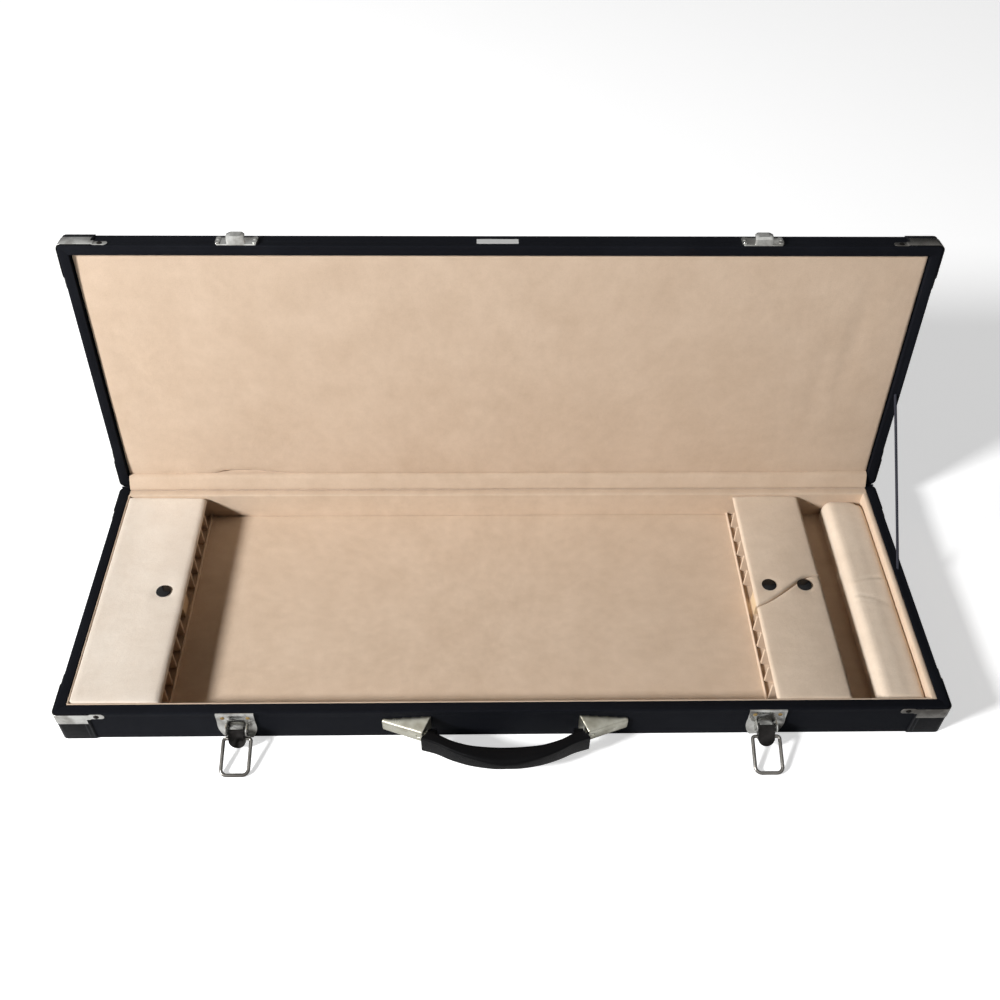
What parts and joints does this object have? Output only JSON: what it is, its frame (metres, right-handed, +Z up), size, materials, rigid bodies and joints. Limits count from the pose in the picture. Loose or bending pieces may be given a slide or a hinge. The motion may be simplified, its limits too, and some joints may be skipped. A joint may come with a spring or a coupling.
{
  "type": "violin bow case",
  "caption": "Flat hard case for violin bows with a hinged lid, padded slotted racks under press-stud flaps, toggle latches and a carrying handle.",
  "frame": {"origin": "centre of the underside of the base", "axes": "+X along the case towards its right end, +Y from the front with the handle to the back with the hinges, +Z up"},
  "size_m": [0.853, 0.3987, 0.3456],
  "materials": {
    "black_covering": "fine woven black covering over board",
    "suede_lining": "soft beige suede nap",
    "rack_wood": "plain unvarnished wood",
    "corner_leatherette": "black embossed leatherette",
    "nickel": "worn nickel plate",
    "satin_nickel": "warm satin nickel",
    "brass": "plain brass",
    "dark_screws": "blackened steel",
    "black_snap": "black enamelled metal",
    "grip_leather": "smooth black padded leatherette",
    "cord": "dark braided cord"
  },
  "bodies": {
    "base": {"base_front_wall": "black_covering", "base_back_wall": "black_covering", "base_end_walls": "black_covering", "base_panel": "black_covering", "wall_linings": "suede_lining", "floor_pad": "suede_lining", "base_hinge_lining": "suede_lining", "tip_rack": "suede_lining", "frog_rack": "suede_lining", "end_cushion": "suede_lining", "tip_rack_block": "rack_wood", "frog_rack_block": "rack_wood", "base_corner_patches": "corner_leatherette", "base_band_front_left": "nickel", "base_band_back_left": "nickel", "base_band_front_right": "nickel", "base_band_back_right": "nickel", "left_latch_plate": "nickel", "right_latch_plate": "nickel", "latch_pins": "nickel", "left_handle_cap": "satin_nickel", "right_handle_cap": "satin_nickel", "handle_pins": "satin_nickel", "latch_rivets": "brass", "snap_studs": "brass", "hinge_base_leaves": "brass", "hinge_pins": "brass", "base_corner_screws": "dark_screws", "hinge_base_screws": "dark_screws", "stay_cord": "cord"},
    "handle": {"handle_grip": "grip_leather"},
    "left_lever": {"left_latch_lever": "nickel"},
    "left_bail": {"left_latch_bail": "nickel"},
    "right_lever": {"right_latch_lever": "nickel"},
    "right_bail": {"right_latch_bail": "nickel"},
    "tip_flap": {"tip_flap": "suede_lining", "tip_snap_cap": "black_snap"},
    "frog_back_flap": {"frog_back_flap": "suede_lining", "frog_back_snap_cap": "black_snap"},
    "frog_front_flap": {"frog_front_flap": "suede_lining", "frog_front_snap_cap": "black_snap"},
    "lid": {"lid_front_wall": "black_covering", "lid_back_wall": "black_covering", "lid_end_walls": "black_covering", "lid_panel": "black_covering", "lid_hinge_lining": "suede_lining", "lid_pad": "suede_lining", "lid_corner_patches": "corner_leatherette", "lid_band_front_left": "nickel", "lid_band_back_left": "nickel", "lid_band_front_right": "nickel", "lid_band_back_right": "nickel", "lid_corner_screws": "dark_screws", "left_lid_catch": "nickel", "right_lid_catch": "nickel", "catch_rivets": "nickel", "hinge_lid_leaves": "brass", "hinge_lid_screws": "dark_screws"}
  },
  "joints": [
    {"name": "lid_hinge", "type": "hinge", "parent": "base", "child": "lid", "pos_m": [0, 0.149, 0.0422], "axis": [-1, 0, 0], "range_deg": [-96, 0], "deforming": ["stay_cord"]},
    {"name": "tip_flap_fold", "type": "hinge", "parent": "base", "child": "tip_flap", "pos_m": [-0.4124, 0, 0.041], "axis": [0, -1, 0], "range_deg": [0, 95]},
    {"name": "frog_back_flap_fold", "type": "hinge", "parent": "base", "child": "frog_back_flap", "pos_m": [0, 0.1354, 0.041], "axis": [-1, 0, 0], "range_deg": [0, 88]},
    {"name": "frog_front_flap_fold", "type": "hinge", "parent": "base", "child": "frog_front_flap", "pos_m": [0, -0.1354, 0.041], "axis": [1, 0, 0], "range_deg": [0, 100]},
    {"name": "handle_swing", "type": "hinge", "parent": "base", "child": "handle", "pos_m": [0, -0.161, 0.023], "axis": [1, 0, 0], "range_deg": [-60, 60]},
    {"name": "left_lever_swing", "type": "hinge", "parent": "base", "child": "left_lever", "pos_m": [-0.255, -0.1545, 0.021], "axis": [-1, 0, 0], "range_deg": [-20, 90]},
    {"name": "left_bail_swing", "type": "hinge", "parent": "left_lever", "child": "left_bail", "pos_m": [-0.255, -0.15758, 0.01254], "axis": [1, 0, 0], "range_deg": [-119.5, 70]},
    {"name": "right_lever_swing", "type": "hinge", "parent": "base", "child": "right_lever", "pos_m": [0.25, -0.1545, 0.021], "axis": [-1, 0, 0], "range_deg": [-40, 70]},
    {"name": "right_bail_swing", "type": "hinge", "parent": "right_lever", "child": "right_bail", "pos_m": [0.25, -0.16029, 0.01411], "axis": [1, 0, 0], "range_deg": [-127.5, 70]}
  ]
}
